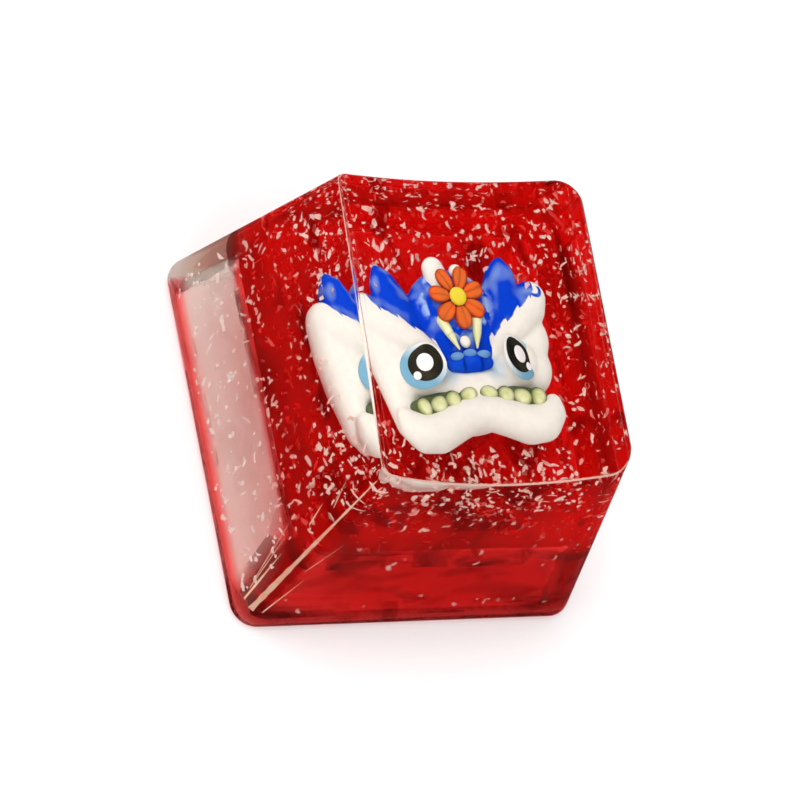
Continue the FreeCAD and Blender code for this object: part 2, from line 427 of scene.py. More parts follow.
def tint_pour(pour, dye, strength, haze, clouds, haze_colour=RED_HAZE, drawn_out=SETTLED):
    """Dyes a pour right through, and clouds its skin where pigment settled, most on its level faces."""
    material, add = new_material(pour.name + "_tint")
    dyed = add("VolumeAbsorption", {"Color": dye, "Density": strength})
    pigment = add("VolumeScatter", {"Color": haze_colour, "Density": haze})
    volume = add("AddShader", {0: dyed.outputs[0], 1: pigment.outputs[0]})
    drawn = add("Mapping", {"Vector": add("TexCoord").outputs["Object"], "Scale": drawn_out})
    flow = {"Vector": drawn.outputs["Vector"], "Scale": 520.0, "Detail": 3.0, "Distortion": 0.6}
    swirls = add("TexNoise", flow)
    thin = add("MapRange", {"Value": swirls.outputs["Fac"], "From Min": 0.36, "From Max": 0.48})
    tones = mix_tones(add, thin.outputs["Result"], clouds, NO_TINT)
    upward = add("SeparateXYZ", {"Vector": add("NewGeometry").outputs["Normal"]}).outputs["Z"]
    level = add("Math", {0: upward}, operation="ABSOLUTE").outputs[0]
    flatness = {"Value": level, "From Min": 0.5, "From Max": 0.9, "To Min": 0.45, "To Max": 1.0}
    share = add("MapRange", flatness).outputs["Result"]
    film = add("BsdfTransparent", {"Color": mix_tones(add, share, NO_TINT, tones)})
    add("OutputMaterial", {"Surface": film.outputs[0], "Volume": volume.outputs[0]})
    pour.data.materials.append(material)
    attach(pour, "root")
    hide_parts("resin_body")


red_pour = pour_block("red_pour", CAVITY_DEPTH + POUR_INSET, RED_TOP)
tint_pour(red_pour, dye=(0.985, 0.06, 0.04, 1), strength=1500.0, haze=270.0, clouds=(0.52, 0.38, 0.38, 1))
rim_pour = pour_ring("rim_pour", POUR_INSET, RIM_TOP, POUR_INSET)
carve(rim_pour, add_block(CORNER_PLACE, CORNER_SIZE), "DIFFERENCE")
tint_pour(rim_pour, dye=(0.965, 0.1, 0.08, 1), strength=1500.0, haze=120.0, clouds=(0.8, 0.7, 0.7, 1),
          haze_colour=RIM_HAZE)
corner_pour = pour_ring("corner_pour", POUR_INSET, RIM_TOP, POUR_INSET)
carve(corner_pour, add_block(CORNER_PLACE, CORNER_SIZE - CORNER_GAP), "INTERSECT")
tint_pour(corner_pour, dye=(0.97, 0.86, 0.78, 1), strength=900.0, haze=500.0, clouds=(0.96, 0.94, 0.93, 1),
          haze_colour=PALE_HAZE)
skirt_pour = skirt_ring("skirt_pour")
cut_past(skirt_pour, FRONT_STRETCH, (0, -1, 0))
cut_past(skirt_pour, THIN_WALL_EDGE, -THIN_WALL_SIDE)
tint_pour(skirt_pour, dye=(0.97, 0.06, 0.04, 1), strength=1800.0, haze=160.0, clouds=(0.85, 0.78, 0.78, 1))
front_pour = skirt_ring("front_pour")
cut_past(front_pour, FRONT_STRETCH, (0, 1, 0))
cut_past(front_pour, THIN_WALL_EDGE, -THIN_WALL_SIDE)
tint_pour(front_pour, dye=(0.95, 0.05, 0.04, 1), strength=1800.0, haze=170.0, clouds=(0.32, 0.24, 0.24, 1),
          drawn_out=DRAWN_ALONG_FRONT)
thin_pour = skirt_ring("thin_pour")
cut_past(thin_pour, THIN_WALL_EDGE, THIN_WALL_SIDE)
tint_pour(thin_pour, dye=(0.9, 0.82, 0.74, 1), strength=900.0, haze=240.0, clouds=(0.93, 0.89, 0.88, 1),
          haze_colour=PALE_HAZE)

# Glitter
# Ragged chips of thin cream film, stirred into the resin before it sets and creased by the stirring.
# Most lie deep under the figure, some just under its lip, and the rest have floated out to the walls.
CHIP_LENGTH = 0.33 * MM
CHIP_WIDTH = 0.15 * MM
CHIP_CORNERS = ((-1, -0.7), (0, -1), (1, -0.6), (0.9, 0.5), (0.1, 1), (-0.8, 0.8))
DEEP_CHIPS = 1250
DEEP_TOP = 8.8 * MM
DEEP_MARGIN = 0.4 * MM
DEEP_LEAN = 1.2
FIGURE_BOTTOM = 5.8 * MM
FIGURE_MIDDLE_Y = 0.5 * MM
FIGURE_OVAL = (5.5 * MM, 4.6 * MM)
FRONT_CHIPS_FROM = -5.6 * MM
FRONT_CHIPS_LOST = 0.6
LIP_CHIPS = 70
LIP_BOTTOM = 7.4 * MM
LIP_OVAL = (5.3 * MM, 4.4 * MM)
LIP_SPREAD = ((-2.8, 5.4), (-5.6, -3.7), (6.6, 8.0))
LIP_LEAN = 0.6
WALL_CHIPS = 640
WALL_CHIPS_FROM = 0.7 * MM
WALL_CHIPS_TO = 10.4 * MM
WALL_CHIP_DEPTHS = (0.12 * MM, 0.3 * MM)
WALL_LEAN = 0.35
LEFT_WINDOW_FROM = 6.0 * MM
LEFT_WINDOW_SPAN = (-0.45, 0.75)
FRONT_WINDOW = (2.0 * MM, 9.0 * MM)
LEFT, RIGHT, FRONT, BACK = range(4)
WALL_ORDER = (LEFT, LEFT, LEFT, RIGHT, BACK, LEFT, LEFT, FRONT)
WALL_FACINGS = ((-1, 0, 0.22), (1, 0, 0.22), (0, -1, 0.27), (0, 1, 0.09))
THIN_WALL_CHIPS = -7.4 * MM


def chip_material(name, tone, other_tone, share_through):
    """Pearly film, each chip in its own tone, that mirrors some light and lets the rest glow through."""
    material, add = new_material(name)
    cells = add("TexVoronoi", {"Vector": add("TexCoord").outputs["Object"], "Scale": 2500.0})
    tones = mix_tones(add, cells.outputs["Color"], tone, other_tone)
    foil = add("BsdfPrincipled", {"Base Color": tones, "Roughness": 0.35})
    glow = add("BsdfTranslucent", {"Color": tones})
    film = add("MixShader", {0: share_through, 1: foil.outputs[0], 2: glow.outputs[0]})
    add("OutputMaterial", {"Surface": film.outputs[0]})
    return material


def tumble(lean):
    """A turn any way round, with a lean of up to so many radians."""
    turn = Matrix.Rotation(random.uniform(0, math.tau), 4, "Z")
    return turn @ Matrix.Rotation(random.uniform(-lean, lean), 4, "X")


def add_chip(form, where):
    """One six-cornered chip of film, creased across its middle."""
    length = (0.2 + 0.8 * random.random() ** 2) * CHIP_LENGTH
    width = random.uniform(0.35, 1.0) * CHIP_WIDTH
    fold = random.uniform(-0.5, 0.5) * length
    sway = random.uniform(-0.8, 0.8) * width
    corners = []
    for along, across in CHIP_CORNERS:
        ragged = random.uniform(0.55, 1.15)
        at_end = abs(along) > 0.5
        point = Vector((along * length * ragged, across * width * ragged + at_end * sway, at_end * fold))
        corners.append(form.verts.new(where @ point))
    form.faces.new((corners[0], corners[1], corners[4], corners[5]))
    form.faces.new((corners[1], corners[2], corners[3], corners[4]))


def past_figure(x, y, oval):
    """Whether a place lies outside an oval round the figure, given by its half length and half width."""
    return Vector((x / oval[0], (y - FIGURE_MIDDLE_Y) / oval[1])).length > 1


random.seed(8130)
chips = bmesh.new()
placed = 0
while placed < DEEP_CHIPS:
    x = random.uniform(-BASE_WIDTH, BASE_WIDTH) / 2
    y = random.uniform(-BASE_DEPTH, BASE_DEPTH) / 2
    z = random.uniform(CAVITY_DEPTH + DEEP_MARGIN, DEEP_TOP)
    half_width, half_depth, shift = half_sizes(z)
    in_walls = abs(x) < half_width - DEEP_MARGIN and abs(y - shift) < half_depth - DEEP_MARGIN
    off_figure = z < FIGURE_BOTTOM or past_figure(x, y, FIGURE_OVAL)
    thinned_out = y < FRONT_CHIPS_FROM and random.random() < FRONT_CHIPS_LOST
    if in_walls and off_figure and not thinned_out:
        turn = tumble(DEEP_LEAN)
        spin = Matrix.Rotation(random.uniform(0, math.tau), 4, "Z")
        add_chip(chips, Matrix.Translation((x, y, z)) @ turn @ spin)
        placed += 1
for index in range(LIP_CHIPS):
    turn = tumble(LIP_LEAN)
    place = Vector([random.uniform(*span) for span in LIP_SPREAD]) * MM
    if place.z < LIP_BOTTOM or past_figure(place.x, place.y, LIP_OVAL):
        add_chip(chips, Matrix.Translation(place) @ turn)
for index in range(WALL_CHIPS):
    z = random.uniform(WALL_CHIPS_FROM, WALL_CHIPS_TO)
    half_width, half_depth, shift = half_sizes(z)
    depth = random.uniform(*WALL_CHIP_DEPTHS)
    along = random.uniform(-0.9, 0.9)
    wall = WALL_ORDER[index % len(WALL_ORDER)]
    beside_figure = LEFT_WINDOW_SPAN[0] < along < LEFT_WINDOW_SPAN[1]
    before_figure = wall == LEFT and z > LEFT_WINDOW_FROM and beside_figure
    in_front_window = wall == FRONT and FRONT_WINDOW[0] < z < FRONT_WINDOW[1] and index % 3
    if before_figure or in_front_window:
        continue
    x = (depth - half_width, half_width - depth, along * half_width, along * half_width)[wall]
    y = (along * half_depth, along * half_depth, depth - half_depth, half_depth - depth)[wall] + shift
    facing = Vector(WALL_FACINGS[wall]).to_track_quat("Z", "Y").to_matrix().to_4x4()
    add_chip(chips, Matrix.Translation((x, y, z)) @ facing @ tumble(WALL_LEAN))


def new_piece(name, form):
    """A piece made from a form drawn point by point."""
    mesh = bpy.data.meshes.new(name)
    form.to_mesh(mesh)
    form.free()
    piece = bpy.data.objects.new(name, mesh)
    bpy.context.collection.objects.link(piece)
    return piece


glitter = new_piece("glitter", chips)
glitter.data.materials.append(chip_material("cream_film", (0.98, 0.84, 0.72, 1), (0.96, 0.6, 0.5, 1), 0.5))
# Chips in the thin left wall take a paler copy of the film: painted light that lifts them out of the shade
# there.
glitter.data.materials.append(chip_material("painted_lit_film", (1.0, 0.95, 0.9, 1), (0.98, 0.86, 0.78, 1), 0.35))
for face in glitter.data.polygons:
    in_thin_wall = face.center.x < THIN_WALL_CHIPS and face.center.z < CAVITY_DEPTH
    face.material_index = 1 if in_thin_wall else 0
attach(glitter, "root")

# Edge marks
# Pale sanding marks in the skin of the resin along its front left edge, fine at the top and wider below,
# which also paint the highlight on that edge.
# One long mark follows the edge itself, and short scratches lie beside it on both faces.
MARK_DEPTH = 0.03 * MM
MARK_TOP = 10.7
MARK_STEP = 0.33
MARK_STEPS = 30
MARK_NARROW = 0.026
MARK_GROWTH = 0.0115
EDGE_TUCK = 0.293
SCRATCH_STATIONS = ((0, 0.9), (0.3, 1.0), (0.7, 0.6), (1, 0.15))
SIDE_SCRATCHES = ((1.3, 4.2, 0.75, 1.0, 0.07), (2.2, 5.2, 1.1, 1.9, 0.03), (1.8, 4.7, 0.95, 1.5, 0.03),
                  (6.3, 7.4, 1.0, 1.3, 0.05), (8.0, 9.2, 0.7, 1.3, 0.03))
FRONT_SCRATCHES = ((1.4, 3.8, 0.7, 1.2, 0.05), (4.4, 6.4, 0.8, 1.5, 0.03))


def near_edge(z, along_side, along_front):
    """A point just under the skin by the front left edge, some way along either face."""
    half_width, half_depth, shift = half_sizes(z)
    radius = CORNER_RADIUS + (TOP_CORNER_RADIUS_LEFT - CORNER_RADIUS) * z / MEAN_HEIGHT
    inset = MARK_DEPTH
    if along_side + along_front == 0:
        inset += EDGE_TUCK * radius
    return Vector((inset - half_width + along_front, inset + shift - half_depth + along_side, z))


def draw_mark(form, points, half_widths, across):
    """A thin strip through a row of points, with its own half width at each one."""
    rows = []
    for point, half in zip(points, half_widths):
        rows.append([form.verts.new(point - across * half), form.verts.new(point + across * half)])
    for (a, b), (c, d) in zip(rows, rows[1:]):
        form.faces.new((a, b, d, c))


def draw_scratch(form, scratch, on_side):
    """A scratch beside the edge that leaves it as it climbs, and fades out."""
    low, high, near, far, half = scratch
    points = []
    for share, width in SCRATCH_STATIONS:
        away = (near + (far - near) * share) * MM
        z = (low + (high - low) * share) * MM
        points.append(near_edge(z, away, 0) if on_side else near_edge(z, 0, away))
    half_widths = [half * width * MM for share, width in SCRATCH_STATIONS]
    draw_mark(form, points, half_widths, Vector((0, 1, 0)) if on_side else Vector((1, 0, 0)))


marks = bmesh.new()
drops = [MARK_STEP * step for step in range(MARK_STEPS)]
half_widths = [(MARK_NARROW + MARK_GROWTH * drop) * random.uniform(0.75, 1.2) * MM for drop in drops]
long_mark = [near_edge((MARK_TOP - drop) * MM, 0, 0) for drop in drops]
draw_mark(marks, long_mark, half_widths, Vector((0.707, -0.707, 0)))
for scratch in SIDE_SCRATCHES:
    draw_scratch(marks, scratch, True)
for scratch in FRONT_SCRATCHES:
    draw_scratch(marks, scratch, False)
edge_marks = new_piece("edge_marks", marks)
# The marks' pale film paints the highlight of the front left edge.
edge_marks.data.materials.append(chip_material("highlight_mark_film", (0.95, 0.5, 0.28, 1), (0.98, 0.78, 0.6, 1), 0.4))
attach(edge_marks, "root")

# Figure
# A lion-dance head moulded as one relief and sealed in the resin, face up and turned a few degrees.
# Its brows, cheeks and long lip are white, and forehead and ears are brushed blue down to a tufted border.
# Sizes from here to the teeth are in the head's own millimetres: x across it, y to its crown, z up.
HEAD_TURN = math.radians(4.5)
HEAD_PLACE = (0, 0.5 * MM, 7.975 * MM)
to_head = Matrix.Translation(HEAD_PLACE) @ Matrix.Rotation(HEAD_TURN, 4, "Z") @ Matrix.Scale(MM, 4)
RIGHT_SIDE = 0.945
SKULL = (((3.75, 3.75, 1.6), (0, 0.1, -0.6)), ((2.5, 2.2, 1.35), (0, 2.0, 0)))
CHEEK_PADS = (((1.6, 1.45, 1.2), (3.5, -0.8, -0.25)), ((1.3, 1.25, 0.9), (2.8, -0.65, 0.45)),
              ((1.5, 1.5, 1.0), (3.85, 0.6, -0.15)))
MUZZLE = ((-2.2, -1.55, 0.5, 0.45), (-0.8, -1.55, 0.55, 0.75), (0.8, -1.55, 0.55, 0.75),
          (2.2, -1.55, 0.5, 0.45))
LIP = ((-4.3, -2.75, 0.7, 0.45), (-4.0, -3.25, 0.75, 0.75), (-3.4, -3.65, 0.8, 0.92),
       (-2.6, -3.68, 0.8, 0.94), (-1.6, -3.3, 0.8, 0.9), (-0.7, -3.0, 0.8, 0.87), (0, -2.92, 0.8, 0.86))
BROW = ((1.55, -0.2, 0.8, 0.4), (2.5, 0.6, 0.6, 0.75), (3.6, 1.4, 0.35, 1.0), (4.5, 2.0, 0.1, 1.0),
        (4.95, 2.5, -0.05, 0.85))
EAR = ((2.7, 1.6, 0.0, 1.0), (3.2, 2.7, 0.0, 1.0), (3.5, 3.6, 0.0, 0.8), (3.68, 4.35, 0.0, 0.3))
LEFT_CHEEK = ((-4.95, 2.3, -0.1, 0.85), (-4.75, 0.9, -0.2, 0.9), (-4.2, -0.6, -0.25, 1.0),
              (-3.9, -2.9, -0.1, 0.75))
CHIN = ((-3.5, -3.35, 0.15, 0.85), (-2.3, -3.5, 0.15, 0.8))
MELT_GRAIN = 0.1
FUR_WHITE = (0.84, 0.79, 0.7, 1)
FUR_SHADE = (0.8, 0.75, 0.67, 1)
NOSE_WASH = (0.36, 0.56, 0.68, 1)
DEEP_BLUE = (0.002, 0.045, 0.55, 1)
BRUSHED_BLUE = (0.3, 0.45, 0.68, 1)
DABBED_BLUE = (0.45, 0.62, 0.8, 1)
BORDER = ((0.0, -0.7), (1.0, -0.65), (1.3, -0.3), (1.5, 0.45), (2.2, 0.95), (2.9, 1.35), (3.4, 1.75),
          (4.2, 2.15), (4.65, 2.65), (4.95, 3.6), (6.0, 4.0))
BORDER_SPAN = 6.0
BORDER_DROP = 2.0
TUFT_PITCH = 0.85
TUFT_LENGTH = 0.22
TUFTS_FROM = 1.4
BORDER_WANDER = 0.25
CURL_PLACE = (4.68, 2.75)
CURL_RADIUS = 0.36
CURL_HALF_WIDTH = 0.1
CURL_TOP = 0.15
FLOWER_PLACE = (0.1, 2.5)
DABS_RADIUS = 1.75
WASH_PLACE = (1.3, -0.95)
SIDES = (-1, 1)


def place_blob(radii, place, turn=(0, 0, 0), shape=None):
    """A ball pressed to three radii, shaped further if asked, and set down in the head's own millimetres."""
    bpy.ops.object.select_all(action="DESELECT")
    bpy.ops.mesh.primitive_uv_sphere_add(segments=32, ring_count=16, radius=1, scale=radii)
    bpy.ops.object.transform_apply(location=True, rotation=True, scale=True)
    blob = bpy.context.object
    if shape:
        for vert in blob.data.vertices:
            shape(vert.co)
    blob.data.transform(Matrix.LocRotScale(Vector(place), Euler(turn), None))
    return blob


def join(parts):
    """Joins pieces into the first of them."""
    bpy.ops.object.select_all(action="DESELECT")
    for part in parts:
        part.select_set(True)
    bpy.context.view_layer.objects.active = parts[0]
    bpy.ops.object.join()
    return parts[0]


def place_limb(stations):
    """A rounded limb: balls at stations of x, y, z and radius, each wrapped together with the next."""
    spans = []
    for pair in zip(stations, stations[1:]):
        span = join([place_blob((radius, radius, radius), (x, y, z)) for x, y, z, radius in pair])
        open_for_editing(span)
        bpy.ops.mesh.select_all(action="SELECT")
        bpy.ops.mesh.convex_hull()
        bpy.ops.object.mode_set(mode="OBJECT")
        spans.append(span)
    return join(spans)


def scaled_across(stations, share):
    """A limb's stations with their x scaled: by -1 for the other side, by less where the face is narrow."""
    return [(share * x, *rest) for x, *rest in stations]


def add_to_head(piece, name, material):
    """Takes a finished piece of the figure from its own millimetres to its place in the resin."""
    piece.name = name
    piece.data.transform(to_head)
    make_active(piece)
    bpy.ops.object.shade_smooth_by_angle(angle=math.radians(60))
    piece.data.materials.clear()
    piece.data.materials.append(material)
    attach(piece, "root")
    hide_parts("lion_head")


def add_coat(add, tone):
    """A coat of paint. The resin wets it, so it has no shine of its own."""
    coat = add("BsdfPrincipled", {"Base Color": tone, "Roughness": 0.5, "Specular IOR Level": 0.0})
    add("OutputMaterial", {"Surface": coat.outputs[0]})


def maths(add, operation, *values):
    """One sum on sockets and numbers."""
    return add("Math", dict(enumerate(values)), operation=operation).outputs[0]


def ranged(add, value, low, high, at_low=0.0, at_high=1.0):
    """A value taken from one range to another."""
    inputs = {"Value": value, "From Min": low, "From Max": high, "To Min": at_low, "To Max": at_high}
    return add("MapRange", inputs).outputs["Result"]


def noise(add, where, scale, detail, distortion=0.0):
    """Clouds at a scale."""
    inputs = {"Vector": where, "Scale": scale, "Detail": detail, "Distortion": distortion}
    return add("TexNoise", inputs).outputs["Fac"]


def head_coordinates(add):
    """A place in the head's own millimetres, whole and as its x and y."""
    frame_inputs = {"Location": HEAD_PLACE, "Rotation": (0, 0, HEAD_TURN), "Scale": (MM, MM, MM)}
    frame_inputs["Vector"] = add("TexCoord").outputs["Object"]
    where = add("Mapping", frame_inputs, vector_type="TEXTURE").outputs["Vector"]
    split = add("SeparateXYZ", {"Vector": where}).outputs
    return where, split["X"], split["Y"]


def reach_from(add, x, y, centre):
    """How far a place lies from a centre."""
    aside = maths(add, "SUBTRACT", x, centre[0])
    above = maths(add, "SUBTRACT", y, centre[1])
    squares = maths(add, "ADD", maths(add, "MULTIPLY", aside, aside), maths(add, "MULTIPLY", above, above))
    return maths(add, "SQRT", squares)


fur_parts = [place_blob(*blob) for blob in SKULL]
for radii, (x, y, z) in CHEEK_PADS:
    fur_parts += [place_blob(radii, (-x, y, z)), place_blob(radii, (RIGHT_SIDE * x, y, z))]
right_lip = scaled_across(LIP, -RIGHT_SIDE)
fur_parts += [place_limb(stations) for stations in (MUZZLE, LIP, right_lip, LEFT_CHEEK, CHIN)]
for limb in (BROW, EAR):
    fur_parts += [place_limb(scaled_across(limb, share)) for share in (RIGHT_SIDE, -1)]
fur = join(fur_parts)
melt = fur.modifiers.new("melt", "REMESH")
melt.mode = "VOXEL"
melt.voxel_size = MELT_GRAIN
soften = fur.modifiers.new("soften", "SMOOTH")
soften.factor = 0.5
soften.iterations = 10
apply_all(fur)

fur_paint, add = new_material("fur_paint")
where, x, y = head_coordinates(add)
across = maths(add, "ABSOLUTE", x)
border = add("FloatCurve", {"Value": maths(add, "DIVIDE", across, BORDER_SPAN)})
border_line = border.mapping.curves[0]
border_points = [(along / BORDER_SPAN, (height + BORDER_DROP) / BORDER_SPAN) for along, height in BORDER]
border_line.points[0].location = border_points[0]
border_line.points[1].location = border_points[-1]
for along, height in border_points[1:-1]:
    border_line.points.new(along, height)
for point in border_line.points:
    point.handle_type = "VECTOR"
border.mapping.update()
height = maths(add, "MULTIPLY_ADD", border.outputs[0], BORDER_SPAN, -BORDER_DROP)
tuft = maths(add, "MULTIPLY", maths(add, "FRACT", maths(add, "DIVIDE", across, TUFT_PITCH)), TUFT_LENGTH)
on_brow = maths(add, "GREATER_THAN", across, TUFTS_FROM)
height = maths(add, "ADD", height, maths(add, "MULTIPLY", on_brow, tuft))
wander = noise(add, where, 2.2, 2.0)
height = maths(add, "ADD", height, maths(add, "MULTIPLY_ADD", wander, BORDER_WANDER, -BORDER_WANDER / 2))
curl_reach = reach_from(add, across, y, CURL_PLACE)
off_curl = maths(add, "ABSOLUTE", maths(add, "SUBTRACT", curl_reach, CURL_RADIUS))
curl_end = maths(add, "SUBTRACT", CURL_TOP, maths(add, "SUBTRACT", y, CURL_PLACE[1]))
curl = maths(add, "MINIMUM", maths(add, "SUBTRACT", CURL_HALF_WIDTH, off_curl), curl_end)
curl = maths(add, "MINIMUM", curl, x)
painted = maths(add, "MAXIMUM", maths(add, "SUBTRACT", y, height), curl)
brushed = ranged(add, noise(add, where, 0.9, 1.0, 0.3), 0.48, 0.8, at_high=0.75)
blue = mix_tones(add, brushed, DEEP_BLUE, BRUSHED_BLUE)
off_ring = maths(add, "SUBTRACT", reach_from(add, x, y, FLOWER_PLACE), DABS_RADIUS)
near_flower = ranged(add, maths(add, "ABSOLUTE", off_ring), 0.0, 0.45, 1.0, 0.0)
dabs = ranged(add, noise(add, where, 1.7, 1.0, 0.5), 0.47, 0.62, at_high=0.75)
blue = mix_tones(add, maths(add, "MULTIPLY", near_flower, dabs), blue, DABBED_BLUE)
white = mix_tones(add, ranged(add, wander, 0.35, 0.7), FUR_WHITE, FUR_SHADE)
wash = ranged(add, reach_from(add, across, y, WASH_PLACE), 0.1, 0.8, 0.65, 0.0)
white = mix_tones(add, wash, white, NOSE_WASH)
add_coat(add, mix_tones(add, ranged(add, painted, -0.03, 0.03), white, blue))
add_to_head(fur, "fur", fur_paint)

# Eyes
# Painted on the domes of the face: a pale blue ring that fades to white at its inner top, a near black pupil
# drawn to a point at its outer top, and a large and a small white highlight, one coat on another.
EYE_PLACES = {-1: (2.8, -0.68, 1.5), 1: (2.55, -0.68, 1.5)}
EYE_TILTS = {-1: math.radians(27), 1: math.radians(35)}
EYE_POINT_AT = math.radians(115)
RING_MIDDLE = (2.7, -0.68)
RING_WHITE = (0.8, 0.8, 0.76, 1)
RING_BLUE = (0.19, 0.4, 0.54, 1)


def place_eye(side, radii, shift, lift, point):
    """A flat lens on one eye's dome, drawn out to a point at its outer top."""
    def draw_out(vert):
        angle = math.atan2(vert.y, vert.x)
        drawn = 1 + point * max(0, math.cos(angle - EYE_POINT_AT)) ** 6
        vert.x *= drawn
        vert.y *= drawn

    lens = place_blob(radii, (0, 0, 0), shape=draw_out)
    tilt = Matrix.Rotation(EYE_TILTS[side], 4, "Y")
    lens.data.transform(Matrix.Translation(EYE_PLACES[side]) @ tilt @ Matrix.Translation((*shift, lift)))
    if side < 0:
        lens.data.transform(Matrix.Scale(-1, 4, (1, 0, 0)))
        lens.data.flip_normals()
    return lens


def place_eyes(radii, shift, lift, point=0.0):
    """The same coat on both eyes."""
    return [place_eye(side, radii, shift, lift, point) for side in SIDES]


def brushed_paint(name, tone, other_tone, scale=700.0):
    """Paint brushed on so that it wanders between two tones."""
    material, add = new_material(name)
    brush = {"Scale": scale, "Low": 0.35, "High": 0.7, "Tone": tone, "Other Tone": other_tone}
    add_coat(add, add("Group", brush, node_tree=two_tones).outputs["Color"])
    return material


ring_paint, add = new_material("ring_paint")
where, x, y = head_coordinates(add)
outward = maths(add, "MULTIPLY", maths(add, "SUBTRACT", maths(add, "ABSOLUTE", x), RING_MIDDLE[0]), 0.75)
downward = maths(add, "MULTIPLY", maths(add, "SUBTRACT", y, RING_MIDDLE[1]), -0.66)
turning = ranged(add, maths(add, "ADD", outward, downward), -0.75, 0.35)
add_coat(add, mix_tones(add, turning, RING_WHITE, RING_BLUE))
pupil_paint = brushed_paint("pupil_paint", (0.006, 0.006, 0.006, 1), (0.04, 0.035, 0.02, 1))
glint_paint = brushed_paint("glint_paint", (0.92, 0.88, 0.85, 1), (0.9, 0.84, 0.82, 1))
add_to_head(join(place_eyes((1.3, 1.05, 0.14), (0, 0), 0.02, 0.1)), "eye_rings", ring_paint)
add_to_head(join(place_eyes((1.0, 0.82, 0.14), (-0.14, 0.06), 0.08, 0.2)), "pupils", pupil_paint)
large_glints = place_eyes((0.46, 0.42, 0.05), (-0.2, 0.14), 0.22)
small_glints = place_eyes((0.22, 0.2, 0.05), (0.38, -0.4), 0.19)
add_to_head(join(large_glints + small_glints), "glints", glint_paint)

# Nose
# A blue bar moulded across the muzzle, with three pale scallops along its top.
# Both are part of the same casting as the face, and brushed on after it.
NOSE = ((-0.95, -0.6, 1.05, 0.33), (-0.4, -0.6, 1.15, 0.45), (0.4, -0.6, 1.15, 0.45),
        (0.95, -0.6, 1.05, 0.33))
SCALLOP_RADII = (0.36, 0.2, 0.3)
SCALLOP_PLACES = ((-0.72, -0.3, 1.4), (0, -0.2, 1.4), (0.72, -0.3, 1.4))
nose_paint = brushed_paint("nose_paint", (0.003, 0.05, 0.56, 1), (0.01, 0.09, 0.6, 1))
pale_blue = brushed_paint("pale_blue", (0.17, 0.36, 0.6, 1), (0.1, 0.25, 0.6, 1))
add_to_head(place_limb(NOSE), "nose", nose_paint)
scallops = [place_blob(SCALLOP_RADII, place) for place in SCALLOP_PLACES]
add_to_head(join(scallops), "nose_scallops", pale_blue)

# Flower
# Seven grooved orange petals round a dimpled yellow button on the crown, with cream nubs behind it.
# Two pale leaves and a bead hang below it over the forehead. All are moulded with the head and painted.
PETAL_COUNT = 7
FIRST_PETAL = 0.25
PETAL_RING_RADIUS = 0.95
PETAL_RADII = (0.6, 0.5, 0.22)
PETAL_LEAN = 0.25
PETAL_LEVEL = 1.42
PETAL_STEP = 0.06
PETAL_SHARE = 0.86
PETAL_WIDENING = 0.26
GROOVE_DEPTH = 0.09
GROOVE_HALF_WIDTH = 0.13
DIMPLE_DEPTH = 0.08
DIMPLE_SPREAD = 0.03
TIP_TAPER = 0.22
NUB = ((-0.4, 3.2, 0.6, 0.68), (-0.55, 4.1, 0.6, 0.6))
LEAF = ((0.95, 1.5, 1.1, 0.3), (0.75, 0.8, 1.3, 0.22), (0.5, 0.05, 1.4, 0.05))

# Painted shade: the sides of a small form are darker than its top.
SHADE_INPUTS = {"Tone": "Color", "Edge Tone": "Color", "Edge Level": "Float"}
shaded_sides, add, given, answer = new_group("shaded_sides", SHADE_INPUTS, "Color", "Color")
upward = add("SeparateXYZ", {"Vector": add("NewGeometry").outputs["Normal"]}).outputs["Z"]
crown = ranged(add, upward, given["Edge Level"], 0.95)
shaded_sides.links.new(mix_tones(add, crown, given["Edge Tone"], given["Tone"]), answer)


def shaded_paint(name, tone, other_tone, scale, edge_tone, edge_level):
    """Brushed paint with painted shade on the sides of a small form, darker where its surface turns away
    from straight up.
    """
    material, add = new_material(name)
    brush = {"Scale": scale, "Low": 0.35, "High": 0.7, "Tone": tone, "Other Tone": other_tone}
    brushed = add("Group", brush, node_tree=two_tones).outputs["Color"]
    sides = {"Tone": brushed, "Edge Tone": edge_tone, "Edge Level": edge_level}
    add_coat(add, add("Group", sides, node_tree=shaded_sides).outputs["Color"])
    return material


def shape_petal(point):
    """Draws a petal in at its root and presses a groove along it."""
    point.y *= PETAL_SHARE + PETAL_WIDENING * point.x
    if point.z > 0:
        point.z -= GROOVE_DEPTH * math.exp(-(point.y / GROOVE_HALF_WIDTH) ** 2)


def shape_button(point):
    """Presses a dimple into the flower's button."""
    if point.z > 0:
        point.z -= DIMPLE_DEPTH * math.exp(-(point.x ** 2 + point.y ** 2) / DIMPLE_SPREAD)


def shape_drop(point):
    """Narrows a bead or a tooth toward its tip."""
    point.x *= 1 + TIP_TAPER * point.y


# The petals darken toward their sides with painted shade.
petal_paint = shaded_paint("petal_paint", (0.82, 0.13, 0.02, 1), (0.62, 0.14, 0.03, 1), 1500.0,
                           edge_tone=(0.4, 0.04, 0.01, 1), edge_level=0.6)
button_paint = brushed_paint("button_paint", (0.8, 0.58, 0.02, 1), (0.75, 0.65, 0.08, 1))
cream_paint = brushed_paint("cream_paint", (0.88, 0.82, 0.7, 1), (0.85, 0.78, 0.7, 1))
leaf_paint = brushed_paint("leaf_paint", (0.8, 0.8, 0.5, 1), (0.7, 0.72, 0.3, 1), 1500.0)
petals = []
for index in range(PETAL_COUNT):
    angle = math.tau * index / PETAL_COUNT + FIRST_PETAL
    x = FLOWER_PLACE[0] + PETAL_RING_RADIUS * math.cos(angle)
    y = FLOWER_PLACE[1] + PETAL_RING_RADIUS * math.sin(angle)
    z = PETAL_LEVEL + PETAL_STEP * (index % 2)
    petals.append(place_blob(PETAL_RADII, (x, y, z), (PETAL_LEAN, 0, angle), shape_petal))
add_to_head(join(petals), "petals", petal_paint)
